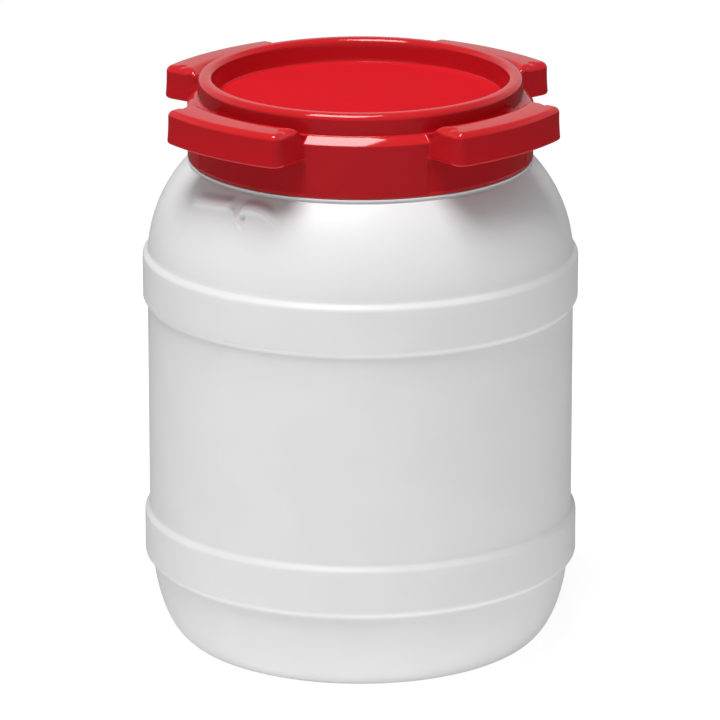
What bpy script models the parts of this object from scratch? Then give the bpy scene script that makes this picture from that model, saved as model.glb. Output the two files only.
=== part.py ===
"""Wide-mouth plastic drum with a four-grip screw lid and a sealing ring.

Metres, +Z up, floor at Z = 0, drum axis on Z, front of the drum towards -Y.
Run with: blender --background --python part.py
"""
import math

import bmesh
import bpy
from mathutils import Vector

# Facets of everything turned about the drum's axis
SEGMENTS = 56
FILLET_STEPS = 2
SMOOTH_ANGLE = math.radians(35)

# Running and seating clearances
SEAT_GAP = 0.0003          # between two pieces that touch
RIM_CLEARANCE = 0.0005     # neck to each wall of the lid's channel
THREAD_TIP_CLEARANCE = 0.0014
THREAD_FLANK_CLEARANCE = 0.0004
SKIRT_CLEARANCE = 0.0012   # skirt's lower edge above the drum's shoulder

# Drum body, from the floor up
DRUM_HEIGHT = 0.2611       # floor to the neck's rim
WALL = 0.0022
PANEL_RADIUS = 0.0640
PANEL_RISE = 0.0035
CONTACT_INNER_RADIUS = 0.0685
CONTACT_RADIUS = 0.0764
FOOT_RADIUS = 0.0967       # where the foot's curve would end in a straight wall
FOOT_CURVE_HEIGHT = 0.0459
FOOT_HEIGHT = 0.0366       # floor to the lower band
BAND_HEIGHT = 0.0268
BAND_RADIUS = 0.1000
BAND_EDGE = 0.0016         # rounding of a band's edges
BAND_TOE = 0.0012          # height of the slope beside a band
MIDDLE_RADIUS = 0.0978
SHOULDER_FOOT_RADIUS = 0.0976
SHOULDER_HEIGHT = 0.0408
SHOULDER_TOP_RADIUS = 0.0790
SHOULDER_ARC = 0.0650
NECK_RADIUS = 0.0722
NECK_WALL = 0.0024
NECK_HEIGHT = 0.0343       # shoulder ledge to rim
NECK_ROOT_FILLET = 0.0012
RIM_FILLET = 0.0007
FOOT_STEPS = 6
SHOULDER_STEPS = 7
INSIDE_FOOT_STEPS = 3
INSIDE_SHOULDER_STEPS = 4

# Nib on the shoulder at the mould's parting line
PARTING_ANGLE = math.radians(-41)
NIB_HALF_ANGLE = math.radians(17)
NIB_HALF_HEIGHT = 0.0052
NIB_BELOW_LEDGE = 0.0078
NIB_PROUD = 0.0018
NIB_SINK = 0.0006
NIB_END_POWER = 0.6        # below 1 keeps the ridge full until near its ends
FIN_PROUD = 0.0016
FIN_HALF_WIDTH_SHARE = 0.06
FIN_HALF_HEIGHT_SHARE = 0.9
NIB_COLUMN_SHARES = (-1, -0.8, -0.55, -0.3, -0.12, -0.06, 0, 0.06, 0.12, 0.3, 0.55, 0.8, 1)
NIB_ROW_SHARES = (-1, -0.7, -0.35, 0, 0.4, 1)

# Screw thread
THREAD_PITCH = 0.0100
THREAD_HEIGHT = 0.0024
THREAD_CREST_HALF = 0.0009
THREAD_SLOPE = 0.45        # flank: axial run for each unit of height
THREAD_SINK = 0.0008
THREAD_START = 0.0064      # first turn's height over the shoulder ledge
THREAD_TURNS = 1.6
LID_THREAD_HEIGHT = 0.0026
LID_THREAD_LAG_TURNS = 0.15
LID_THREAD_TURNS = 1.7
THREAD_FADE_TURNS = 0.08

# Sealing ring
GASKET_THICKNESS = 0.0027
GASKET_EDGE = 0.0005

# Screw lid
BEAD_WALL = 0.0016
BEAD_CROWN = 0.0023
BEAD_HEIGHT = 0.0100       # ledge to crest
BEAD_OUTER_FILLET = 0.0030
BEAD_INNER_FILLET = 0.0026
BEAD_STEPS = 3
DISH_DEPTH = 0.0115
DISH_DRAFT = 0.0013
DISH_FILLET = 0.0014
DISC_THICKNESS = 0.0022
LEDGE_THICKNESS = 0.0024
SKIRT_WALL = 0.0030
SKIRT_SHOULDER = 0.0032
SKIRT_LIP = 0.0012

# The lid's four grips
GRIP_COUNT = 4
FIRST_GRIP_ANGLE = math.radians(47.2)
GRIP_REACH = 0.0183        # beyond the skirt, at the grip's middle
GRIP_HALF_LENGTH = 0.0337  # where its ends leave the skirt
GRIP_FLARE = 0.12          # how far an end spreads for each unit outward
GRIP_BOW_RADIUS = 0.1250   # of the outer wall in plan, flatter than the lid's own circle
GRIP_STEP = 0.0054         # crown above the ledge
GRIP_HEIGHT = 0.0161       # lower edge to crown
GRIP_CROWN_RADIUS = 0.0890 # where a grip is highest
GRIP_CROWN_FALL = 0.0008   # from the crown down to the outer edge of the top
GRIP_INNER_ARC = 0.0100    # rounding of the side towards the bead
GRIP_FLOOR_DROP = 0.0003   # floor behind a grip below the ledge
GRIP_DRAFT = 0.0008
GRIP_EDGE_HEIGHT = 0.0016
GRIP_EDGE = 0.0006         # lower edge drawn in
GRIP_TOP_FILLET = 0.0035
GRIP_CORNER = 0.0058
GRIP_TOP_CORNER = 0.0035
GRIP_WALL = 0.0020
GRIP_TOP_WALL = 0.0029
GRIP_CORNER_STEPS = 3
GRIP_ARC_STEPS = 6
GRIP_FILLET_STEPS = 3
GRIP_SINK = 0.0008         # how far a grip is fused into the skirt
RECESS_DEPTH = 0.0014      # of the skirt below a grip
RECESS_FOOT_DEPTH = 0.0003  # what is left of it where it ends near the lip
RECESS_MARGIN = 0.0004     # recess is this much shorter than the grip at each end
RECESS_OVERRUN = 0.0020

# Colours, linear RGB
WHITE = (0.78, 0.78, 0.79, 1)
RED = (0.68, 0.012, 0.020, 1)
SEAL_GREY = (0.62, 0.61, 0.58, 1)

# Levels and radii that follow from the sizes above
MIDDLE_HEIGHT = DRUM_HEIGHT - FOOT_HEIGHT - BAND_HEIGHT * 2 - SHOULDER_HEIGHT - NECK_HEIGHT  # between the bands
LOWER_BAND_Z = FOOT_HEIGHT
MIDDLE_Z = LOWER_BAND_Z + BAND_HEIGHT
UPPER_BAND_Z = MIDDLE_Z + MIDDLE_HEIGHT
SHOULDER_Z = UPPER_BAND_Z + BAND_HEIGHT
LEDGE_Z = SHOULDER_Z + SHOULDER_HEIGHT
RIM_Z = LEDGE_Z + NECK_HEIGHT
NECK_BORE_RADIUS = NECK_RADIUS - NECK_WALL
THREAD_ROOT_HALF = THREAD_CREST_HALF + THREAD_HEIGHT * THREAD_SLOPE

GASKET_Z = RIM_Z + SEAT_GAP
CHANNEL_ROOF_Z = GASKET_Z + GASKET_THICKNESS + SEAT_GAP
CREST_Z = CHANNEL_ROOF_Z + BEAD_CROWN
PLUG_RADIUS = NECK_BORE_RADIUS - RIM_CLEARANCE
CHANNEL_RADIUS = NECK_RADIUS + RIM_CLEARANCE
BEAD_RADIUS = CHANNEL_RADIUS + BEAD_WALL
DISH_TOP_RADIUS = PLUG_RADIUS - BEAD_WALL
DISH_RADIUS = DISH_TOP_RADIUS - DISH_DRAFT
DISC_Z = CREST_Z - DISH_DEPTH
LID_LEDGE_Z = CREST_Z - BEAD_HEIGHT
SKIRT_INNER_RADIUS = NECK_RADIUS + THREAD_HEIGHT + THREAD_TIP_CLEARANCE
SKIRT_RADIUS = SKIRT_INNER_RADIUS + SKIRT_WALL
SKIRT_Z = LEDGE_Z + SKIRT_CLEARANCE
GRIP_RADIUS = SKIRT_RADIUS + GRIP_REACH
GRIP_TOP_Z = LID_LEDGE_Z + GRIP_STEP
GRIP_Z = GRIP_TOP_Z - GRIP_HEIGHT
RECESS_RADIUS = SKIRT_RADIUS - RECESS_DEPTH
GRIP_BURIED_RADIUS = RECESS_RADIUS - GRIP_SINK
RECESS_TOP_Z = LID_LEDGE_Z - SKIRT_SHOULDER - RECESS_MARGIN


def clear_scene():
    """Remove every object that the file starts with."""
    for old in list(bpy.data.objects):
        bpy.data.objects.remove(old, do_unlink=True)


def make_material(name, colour, roughness):
    """A plain plastic: one Principled BSDF."""
    material = bpy.data.materials.new(name)
    material.use_nodes = True
    shader = material.node_tree.nodes["Principled BSDF"]
    shader.inputs["Base Color"].default_value = colour
    shader.inputs["Roughness"].default_value = roughness
    shader.inputs["Metallic"].default_value = 0.0
    return material


def make_object(name, bm, material=None):
    """Turn a bmesh into a smooth-shaded object with its faces outward."""
    bmesh.ops.recalc_face_normals(bm, faces=bm.faces)
    mesh = bpy.data.meshes.new(name)
    bm.to_mesh(mesh)
    bm.free()
    mesh.shade_smooth()
    mesh.set_sharp_from_angle(angle=SMOOTH_ANGLE)
    if material:
        mesh.materials.append(material)
    made = bpy.data.objects.new(name, mesh)
    bpy.context.collection.objects.link(made)
    return made


def combine(target, operation, name, bm):
    """Add a Boolean modifier whose operand is kept as a hidden guide."""
    operand = make_object(name, bm)
    operand.hide_render = True
    operand.display_type = 'WIRE'
    modifier = target.modifiers.new(name, 'BOOLEAN')
    modifier.operation = operation
    modifier.solver = 'EXACT'
    modifier.object = operand


def polar(radius, angle, z):
    """A point from its radius, its angle from the front (-Y) towards +X, and its height."""
    return Vector((radius * math.sin(angle), -radius * math.cos(angle), z))


def fillet(before, corner, after, radius, steps=FILLET_STEPS):
    """Points of the arc that rounds one corner of an outline in the (r, z) plane."""
    corner = Vector(corner)
    to_before = (Vector(before) - corner).normalized()
    to_after = (Vector(after) - corner).normalized()
    half_angle = to_before.angle(to_after) / 2
    centre = corner + (to_before + to_after).normalized() * (radius / math.sin(half_angle))
    first = corner + to_before * (radius / math.tan(half_angle)) - centre
    last = corner + to_after * (radius / math.tan(half_angle)) - centre
    turn = first.angle_signed(last)
    points = []
    for step in range(steps + 1):
        angle = -turn * step / steps
        spoke = Vector((first.x * math.cos(angle) - first.y * math.sin(angle),
                        first.x * math.sin(angle) + first.y * math.cos(angle)))
        points.append(tuple(centre + spoke))
    return points


def shoulder_centre():
    """Centre, in the (r, z) plane, of the arc that the shoulder follows."""
    start = Vector((SHOULDER_FOOT_RADIUS, SHOULDER_Z))
    end = Vector((SHOULDER_TOP_RADIUS, LEDGE_Z))
    chord = end - start
    outward = Vector((chord.y, -chord.x)).normalized()
    depth = math.sqrt(SHOULDER_ARC ** 2 - (chord.length / 2) ** 2)
    return (start + end) / 2 - outward * depth


def shoulder_arc(inset, steps):
    """Points of the shoulder from the upper band to the ledge round the neck, drawn inset from it."""
    centre = shoulder_centre()
    first = math.atan2(SHOULDER_Z - centre.y, SHOULDER_FOOT_RADIUS - centre.x)
    last = math.atan2(LEDGE_Z - centre.y, SHOULDER_TOP_RADIUS - centre.x)
    radius = SHOULDER_ARC - inset
    points = []
    for step in range(steps + 1):
        angle = first + (last - first) * step / steps
        points.append((centre.x + radius * math.cos(angle), centre.y + radius * math.sin(angle)))
    return points


def foot_curve(inset, top_z, steps):
    """Elliptical corner from the contact ring up to top_z, drawn inset from it."""
    width = FOOT_RADIUS - CONTACT_RADIUS - inset
    height = FOOT_CURVE_HEIGHT - inset
    last = math.asin((top_z - FOOT_CURVE_HEIGHT) / height)
    points = []
    for step in range(steps + 1):
        angle = -math.pi / 2 + (last + math.pi / 2) * step / steps
        points.append((CONTACT_RADIUS + width * math.cos(angle),
                       FOOT_CURVE_HEIGHT + height * math.sin(angle)))
    return points


def band_outline(bottom_z, radius_below, radius_above):
    """One raised band: a short slope, a rounded edge, the band, and the same again."""
    top_z = bottom_z + BAND_HEIGHT
    below = (radius_below, bottom_z)
    lower = (BAND_RADIUS, bottom_z + BAND_TOE)
    upper = (BAND_RADIUS, top_z - BAND_TOE)
    above = (radius_above, top_z)
    return [below] + fillet(below, lower, upper, BAND_EDGE) + fillet(lower, upper, above, BAND_EDGE) + [above]


def band_inside(bottom_z):
    """The hollow behind a band, as the blown wall leaves it."""
    top_z = bottom_z + BAND_HEIGHT
    shallow = MIDDLE_RADIUS - WALL
    deep = BAND_RADIUS - WALL
    return [(shallow, bottom_z + WALL), (deep, bottom_z + BAND_TOE + WALL),
            (deep, top_z - BAND_TOE - WALL), (shallow, top_z - WALL)]


def revolve(outline, closed=False):
    """Turn an (r, z) outline about Z; an open one starts and ends on the axis."""
    bm = bmesh.new()
    columns = []
    for radius, z in outline:
        if radius:
            columns.append([bm.verts.new(polar(radius, math.tau * i / SEGMENTS, z)) for i in range(SEGMENTS)])
        else:
            columns.append([bm.verts.new((0, 0, z))] * SEGMENTS)
    pairs = list(zip(columns, columns[1:]))
    if closed:
        pairs.append((columns[-1], columns[0]))
    for low, high in pairs:
        for i in range(SEGMENTS):
            j = (i + 1) % SEGMENTS
            corners = dict.fromkeys((low[i], low[j], high[j], high[i]))
            bm.faces.new(list(corners))
    return bm


def skin(bm, rings):
    """Join equal rings of points with quads, and return the rings' vertices."""
    rows = [[bm.verts.new(point) for point in ring] for ring in rings]
    count = len(rows[0])
    for low, high in zip(rows, rows[1:]):
        for i in range(count):
            j = (i + 1) % count
            bm.faces.new((low[i], low[j], high[j], high[i]))
    return rows


def thread_ridge(root_radius, height, outward, start_z, lag_turns, turns):
    """A helical ridge that fades out at both ends and is rooted in the wall behind it.

    The helix passes start_z at the parting line, and lag_turns later the ridge begins.
    """
    bm = bmesh.new()
    steps = round(turns * SEGMENTS)
    fade_steps = THREAD_FADE_TURNS * SEGMENTS
    buried = THREAD_SINK / 2
    root_half = THREAD_CREST_HALF + height * THREAD_SLOPE
    sunk_half = root_half + THREAD_SINK * THREAD_SLOPE
    sunk_radius = root_radius - outward * THREAD_SINK
    rings = []
    for step in range(steps + 1):
        turn = lag_turns + step / SEGMENTS
        fade = min(1, step / fade_steps, (steps - step) / fade_steps)
        crest = (height + buried) * fade - buried
        crest_half = root_half - crest * THREAD_SLOPE
        angle = PARTING_ANGLE + math.tau * turn
        z = start_z + THREAD_PITCH * turn
        crest_radius = root_radius + outward * crest
        rings.append([polar(sunk_radius, angle, z - sunk_half),
                      polar(crest_radius, angle, z - crest_half),
                      polar(crest_radius, angle, z + crest_half),
                      polar(sunk_radius, angle, z + sunk_half)])
    rows = skin(bm, rings)
    bm.faces.new(rows[0])
    bm.faces.new(rows[-1])
    return bm


def nib_height(across, up):
    """How far the nib stands out at shares across its width and up its height."""
    ridge = math.cos(across * math.pi / 2) ** NIB_END_POWER * math.cos(up * math.pi / 2)
    height = (NIB_PROUD + NIB_SINK) * ridge - NIB_SINK
    if abs(across) < FIN_HALF_WIDTH_SHARE and abs(up) < FIN_HALF_HEIGHT_SHARE:
        height += FIN_PROUD
    return height


def nib():
    """The soft ridge and pinched fin that the mould leaves on the shoulder."""
    bm = bmesh.new()
    centre = shoulder_centre()
    middle = math.asin((LEDGE_Z - NIB_BELOW_LEDGE - centre.y) / SHOULDER_ARC)
    rings = []
    for up in NIB_ROW_SHARES:
        slope = middle + up * NIB_HALF_HEIGHT / SHOULDER_ARC
        top_row = []
        root_row = []
        for across in NIB_COLUMN_SHARES:
            angle = PARTING_ANGLE + across * NIB_HALF_ANGLE
            reach = SHOULDER_ARC + nib_height(across, up)
            root = SHOULDER_ARC - WALL / 2
            top_row.append(polar(centre.x + reach * math.cos(slope), angle, centre.y + reach * math.sin(slope)))
            root_row.append(polar(centre.x + root * math.cos(slope), angle, centre.y + root * math.sin(slope)))
        rings.append(top_row + root_row[::-1])
    rows = skin(bm, rings)
    for row in (rows[0], rows[-1]):
        count = len(NIB_COLUMN_SHARES)
        for i in range(count - 1):
            bm.faces.new((row[i], row[i + 1], row[-2 - i], row[-1 - i]))
    return bm


def build_drum_body(material):
    """Blow-moulded shell: foot, two bands, shoulder, threaded neck, open at the top."""
    outer = [(0, PANEL_RISE), (PANEL_RADIUS, PANEL_RISE), (CONTACT_INNER_RADIUS, 0)]
    outer += foot_curve(0, LOWER_BAND_Z - BAND_TOE, FOOT_STEPS)
    foot_top_radius = outer[-1][0]
    outer += band_outline(LOWER_BAND_Z, foot_top_radius, MIDDLE_RADIUS)
    outer += band_outline(UPPER_BAND_Z, MIDDLE_RADIUS, SHOULDER_FOOT_RADIUS)[:-1]
    outer += shoulder_arc(0, SHOULDER_STEPS)
    ledge = (SHOULDER_TOP_RADIUS, LEDGE_Z)
    root = (NECK_RADIUS, LEDGE_Z)
    rim_outside = (NECK_RADIUS, RIM_Z)
    rim_inside = (NECK_BORE_RADIUS, RIM_Z)
    bore_end = (NECK_BORE_RADIUS, LEDGE_Z - WALL)
    outer += fillet(ledge, root, rim_outside, NECK_ROOT_FILLET, steps=1)
    outer += fillet(root, rim_outside, rim_inside, RIM_FILLET, steps=1)
    outer += fillet(rim_outside, rim_inside, bore_end, RIM_FILLET, steps=1)
    inner = [bore_end] + shoulder_arc(WALL, INSIDE_SHOULDER_STEPS)[::-1]
    inner += band_inside(UPPER_BAND_Z)[::-1]
    inner += band_inside(LOWER_BAND_Z)[::-1]
    inner += foot_curve(WALL, LOWER_BAND_Z - BAND_TOE, INSIDE_FOOT_STEPS)[::-1]
    inner += [(PANEL_RADIUS, PANEL_RISE + WALL), (0, PANEL_RISE + WALL)]
    body = make_object("drum_body", revolve(outer + inner), material)
    combine(body, 'UNION', "neck_thread_guide",
            thread_ridge(NECK_RADIUS, THREAD_HEIGHT, 1, LEDGE_Z + THREAD_START, 0, THREAD_TURNS))
    combine(body, 'UNION', "shoulder_nib_guide", nib())
    return body


def build_gasket(material):
    """Flat sealing ring that sits in the roof of the lid's channel."""
    low = GASKET_Z
    high = GASKET_Z + GASKET_THICKNESS
    inner = PLUG_RADIUS + SEAT_GAP
    outer = CHANNEL_RADIUS - SEAT_GAP
    outline = [(inner, low + GASKET_EDGE), (inner + GASKET_EDGE, low), (outer - GASKET_EDGE, low),
               (outer, low + GASKET_EDGE), (outer, high), (inner, high)]
    return make_object("lid_gasket", revolve(outline, closed=True), material)


def lid_outline():
    """Section of the lid from the middle of its dish, over the bead and skirt, and back inside."""
    dish = (DISH_RADIUS, DISC_Z)
    bead_inner = (DISH_TOP_RADIUS, CREST_Z)
    bead_outer = (BEAD_RADIUS, CREST_Z)
    bead_foot = (BEAD_RADIUS, LID_LEDGE_Z)
    shoulder = (SKIRT_RADIUS, LID_LEDGE_Z)
    lip = (SKIRT_RADIUS, SKIRT_Z)
    hem = (SKIRT_INNER_RADIUS, SKIRT_Z)
    under_ledge_z = LID_LEDGE_Z - LEDGE_THICKNESS
    under_disc_z = DISC_Z - DISC_THICKNESS
    outline = [(0, DISC_Z)]
    outline += fillet((0, DISC_Z), dish, bead_inner, DISH_FILLET)
    outline += fillet(dish, bead_inner, bead_outer, BEAD_INNER_FILLET, BEAD_STEPS)
    outline += fillet(bead_inner, bead_outer, bead_foot, BEAD_OUTER_FILLET, BEAD_STEPS)
    outline += [bead_foot]
    outline += fillet(bead_foot, shoulder, lip, SKIRT_SHOULDER, BEAD_STEPS)
    outline += fillet(shoulder, lip, hem, SKIRT_LIP)
    outline += [hem, (SKIRT_INNER_RADIUS, under_ledge_z), (CHANNEL_RADIUS, under_ledge_z)]
    outline += [(CHANNEL_RADIUS, CHANNEL_ROOF_Z), (PLUG_RADIUS, CHANNEL_ROOF_Z)]
    outline += [(PLUG_RADIUS, under_disc_z), (0, under_disc_z)]
    return outline


def on_end_wall(offset, radius):
    """Where an end wall's line, this far from the grip's middle at the axis, meets a circle: (across, out)."""
    square = 1 + GRIP_FLARE ** 2
    out = (math.sqrt(square * radius ** 2 - offset ** 2) - offset * GRIP_FLARE) / square
    return offset + GRIP_FLARE * out, out


def grip_ring(centre_angle, z, outer_radius, half_length, corner, inner_radius, inner_z=None):
    """Plan outline of a grip at one height: bowed outside, rounded corners and flared ends.

    The first points run along the outside, the rest come back along the inner radius, which
    may lie at a height of its own.
    """
    bow_centre = outer_radius - GRIP_BOW_RADIUS
    end_angle = math.pi / 2 + math.atan(GRIP_FLARE)
    offset = half_length - GRIP_FLARE * SKIRT_RADIUS
    corner_offset = offset - corner / math.sin(end_angle) + GRIP_FLARE * bow_centre
    corner_across, corner_out = on_end_wall(corner_offset, GRIP_BOW_RADIUS - corner)
    corner_angle = math.atan2(corner_across, corner_out)
    inner_end = on_end_wall(offset, inner_radius)
    outside = [inner_end]
    for step in range(GRIP_CORNER_STEPS):
        angle = end_angle + (corner_angle - end_angle) * step / GRIP_CORNER_STEPS
        outside.append((corner_across + corner * math.sin(angle),
                        bow_centre + corner_out + corner * math.cos(angle)))
    for step in range(GRIP_ARC_STEPS // 2):
        angle = corner_angle * (1 - step / (GRIP_ARC_STEPS / 2))
        outside.append((GRIP_BOW_RADIUS * math.sin(angle), bow_centre + GRIP_BOW_RADIUS * math.cos(angle)))
    mirrored = [(-across, out) for across, out in reversed(outside)]
    outside += [(0, outer_radius)] + mirrored
    limit = math.atan2(*inner_end)
    last = len(outside) - 1
    inside = []
    for i in range(1, last):
        angle = -limit + 2 * limit * i / last
        inside.append((inner_radius * math.sin(angle), inner_radius * math.cos(angle)))
    ring = []
    for i, (across, out) in enumerate(outside + inside):
        height = z if inner_z is None or 0 < i < last else inner_z
        ring.append(polar(math.hypot(across, out), centre_angle + math.atan2(across, out), height))
    return ring


def cap(bm, row):
    """Close a grip ring with a strip of faces from its outside to its inside."""
    count = len(row) // 2 + 1
    outside = row[:count]
    inside = [outside[0]] + row[count:][::-1] + [outside[-1]]
    for i in range(count - 1):
        corners = dict.fromkeys((outside[i], outside[i + 1], inside[i + 1], inside[i]))
        bm.faces.new(list(corners))


def grip_angles():
    """Angles of the grips' middles round the lid."""
    return [FIRST_GRIP_ANGLE + math.tau * i / GRIP_COUNT for i in range(GRIP_COUNT)]


def grip_levels():
    """Levels of the grip's skin: outer height, inset from the widest outline, inner radius, inner height."""
    levels = []
    in_ledge_z = LID_LEDGE_Z - LEDGE_THICKNESS / 2
    for z, inset in ((GRIP_Z, GRIP_EDGE), (GRIP_Z + GRIP_EDGE_HEIGHT, 0), (in_ledge_z, GRIP_DRAFT)):
        levels.append((z, inset, GRIP_BURIED_RADIUS, z))
    floor_z = LID_LEDGE_Z - GRIP_FLOOR_DROP
    levels.append((floor_z, GRIP_DRAFT, SKIRT_RADIUS - SKIRT_SHOULDER, floor_z))
    fillet_z = GRIP_TOP_Z - GRIP_CROWN_FALL - GRIP_TOP_FILLET
    first = math.asin((GRIP_INNER_ARC - GRIP_STEP) / GRIP_INNER_ARC)
    for step in range(GRIP_FILLET_STEPS + 1):
        angle = math.pi / 2 * step / GRIP_FILLET_STEPS
        inner_angle = first + (math.pi / 2 - first) * step / GRIP_FILLET_STEPS
        levels.append((fillet_z + GRIP_TOP_FILLET * math.sin(angle),
                       GRIP_DRAFT + GRIP_TOP_FILLET * (1 - math.cos(angle)),
                       GRIP_CROWN_RADIUS - GRIP_INNER_ARC * math.cos(inner_angle),
                       GRIP_TOP_Z - GRIP_INNER_ARC * (1 - math.sin(inner_angle))))
    return levels


def grips():
    """Four hollow grips, open below, each a cup that the skirt's wall closes."""
    bm = bmesh.new()
    full_inset = GRIP_DRAFT + GRIP_TOP_FILLET
    cavity_radius = GRIP_BURIED_RADIUS + GRIP_SINK / 2
    cavity_levels = ((GRIP_TOP_Z - GRIP_TOP_WALL, GRIP_DRAFT + GRIP_WALL * 2, GRIP_CROWN_RADIUS - GRIP_WALL),
                     (RECESS_TOP_Z, GRIP_DRAFT + GRIP_WALL, cavity_radius),
                     (GRIP_Z, GRIP_WALL, cavity_radius))
    for centre_angle in grip_angles():
        rings = []
        for z, inset, inner, inner_z in grip_levels():
            corner = GRIP_CORNER + (GRIP_TOP_CORNER - GRIP_CORNER) * inset / full_inset
            rings.append(grip_ring(centre_angle, z, GRIP_RADIUS - inset, GRIP_HALF_LENGTH - inset, corner,
                                   inner, inner_z))
        cavity = []
        for z, inset, inner in cavity_levels:
            cavity.append(grip_ring(centre_angle, z, GRIP_RADIUS - inset, GRIP_HALF_LENGTH - inset,
                                    GRIP_CORNER - inset, inner))
        rows = skin(bm, rings[::-1])
        cavity_rows = skin(bm, cavity)
        cap(bm, rows[0])
        cap(bm, cavity_rows[0])
        count = len(rows[-1])
        for i in range(count):
            j = (i + 1) % count
            bm.faces.new((rows[-1][i], rows[-1][j], cavity_rows[-1][j], cavity_rows[-1][i]))
    return bm


def grip_recesses():
    """Cutters that thin the skirt below each grip, deepest at the grip and fading downwards."""
    bm = bmesh.new()
    outer_radius = SKIRT_RADIUS + RECESS_OVERRUN
    levels = ((SKIRT_Z + SKIRT_LIP * 2, SKIRT_RADIUS - RECESS_FOOT_DEPTH), (GRIP_Z, RECESS_RADIUS),
              (RECESS_TOP_Z, RECESS_RADIUS))
    for centre_angle in grip_angles():
        rings = [grip_ring(centre_angle, z, outer_radius, GRIP_HALF_LENGTH - RECESS_MARGIN, RECESS_OVERRUN / 2, inner)
                 for z, inner in levels]
        rows = skin(bm, rings)
        cap(bm, rows[0])
        cap(bm, rows[-1])
    return bm


def build_lid(material):
    """Injection-moulded lid: dished middle, channelled bead, threaded skirt and four grips."""
    lid = make_object("screw_lid", revolve(lid_outline()), material)
    combine(lid, 'DIFFERENCE', "skirt_recess_cutter", grip_recesses())
    combine(lid, 'UNION', "grip_guide", grips())
    overlap_half = THREAD_ROOT_HALF + THREAD_CREST_HALF + LID_THREAD_HEIGHT * THREAD_SLOPE
    flank_run = (SKIRT_INNER_RADIUS - NECK_RADIUS) * THREAD_SLOPE
    drop = overlap_half - flank_run + THREAD_FLANK_CLEARANCE
    combine(lid, 'UNION', "lid_thread_guide",
            thread_ridge(SKIRT_INNER_RADIUS, LID_THREAD_HEIGHT, -1, LEDGE_Z + THREAD_START - drop,
                         LID_THREAD_LAG_TURNS, LID_THREAD_TURNS))
    return lid


def main():
    clear_scene()
    build_drum_body(make_material("white_plastic", WHITE, 0.38))
    build_gasket(make_material("seal_rubber", SEAL_GREY, 0.6))
    build_lid(make_material("red_plastic", RED, 0.2))


main()
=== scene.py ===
import math

import bmesh
import bpy
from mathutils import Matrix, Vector


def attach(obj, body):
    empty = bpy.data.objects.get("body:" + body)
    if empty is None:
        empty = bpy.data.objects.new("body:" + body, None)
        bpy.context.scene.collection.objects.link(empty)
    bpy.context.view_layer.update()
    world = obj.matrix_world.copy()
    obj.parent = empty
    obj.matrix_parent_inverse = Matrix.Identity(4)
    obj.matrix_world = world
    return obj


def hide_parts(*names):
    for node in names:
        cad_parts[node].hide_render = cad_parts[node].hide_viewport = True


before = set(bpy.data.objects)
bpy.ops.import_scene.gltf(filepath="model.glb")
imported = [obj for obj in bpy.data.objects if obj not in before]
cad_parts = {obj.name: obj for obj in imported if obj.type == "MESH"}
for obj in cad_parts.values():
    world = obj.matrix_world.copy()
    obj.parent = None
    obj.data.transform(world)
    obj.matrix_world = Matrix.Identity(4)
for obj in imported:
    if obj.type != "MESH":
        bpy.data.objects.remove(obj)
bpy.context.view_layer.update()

# Sizes are in metres. Most repeat the part's own. The bands, the nib, the lid's shoulder and the grips
# are closer to the photo here than in the part, and the neck's collar and the dimples are only here.

# Drum body
WALL = 0.0022
PANEL_RADIUS = 0.0640
PANEL_RISE = 0.0035
PANEL_RINGS = (0.0, 0.03, 0.055)
PANEL_FILLET = 0.0030
CONTACT_INNER_RADIUS = 0.0685
CONTACT_RADIUS = 0.0764
CONTACT_FILLET = 0.0040
FOOT_RADIUS = 0.0967
FOOT_CURVE_HEIGHT = 0.0459
BAND_RADIUS = 0.1000
BAND_EDGE = 0.0024
BAND_TOE = 0.0024
BAND_HEIGHT = 0.0250
BAND_CLEARANCE = 0.0010
MIDDLE_RADIUS = 0.0978
SHOULDER_FOOT_RADIUS = 0.0976
SHOULDER_TOP_RADIUS = 0.0790
SHOULDER_ARC = 0.0650
NECK_RADIUS = 0.0722
NECK_BORE_RADIUS = 0.0698
NECK_ROOT_FILLET = 0.0008
RIM_FILLET = 0.0007
LOWER_BAND_Z = 0.0382
UPPER_BAND_Z = 0.1610
SHOULDER_Z = 0.1860
LEDGE_Z = 0.2268
COLLAR_RADIUS = 0.0790
COLLAR_Z = 0.2287
COLLAR_FOOT_Z = 0.2279
COLLAR_FILLET = 0.0002
GROOVE_RADIUS = 0.0780
GROOVE_Z = 0.2270
GROOVE_FILLET = 0.0003
RIM_Z = 0.2611

# Screw thread
THREAD_PITCH = 0.0100
THREAD_CREST_HALF = 0.0009
THREAD_SLOPE = 0.45
THREAD_FADE_TURNS = 0.08
NECK_THREAD = {"height": 0.0024, "start": 0.2332, "lag": 0.0, "turns": 1.6}
LID_THREAD = {"height": 0.0026, "start": 0.22995, "lag": 0.15, "turns": 1.7}
NECK_THREAD_ZONE = (COLLAR_Z + 0.0010, RIM_Z - 0.0008)

# Mould's two parting lines, opposite each other. The seam's half width is in radians.
PARTING_DEGREES = -41
PARTING_ANGLE = math.radians(PARTING_DEGREES)
SEAM_PROUD = 0.00007
SEAM_HALF_ANGLE = 0.0075
SEAM_FOOT_Z = 0.0040

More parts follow.
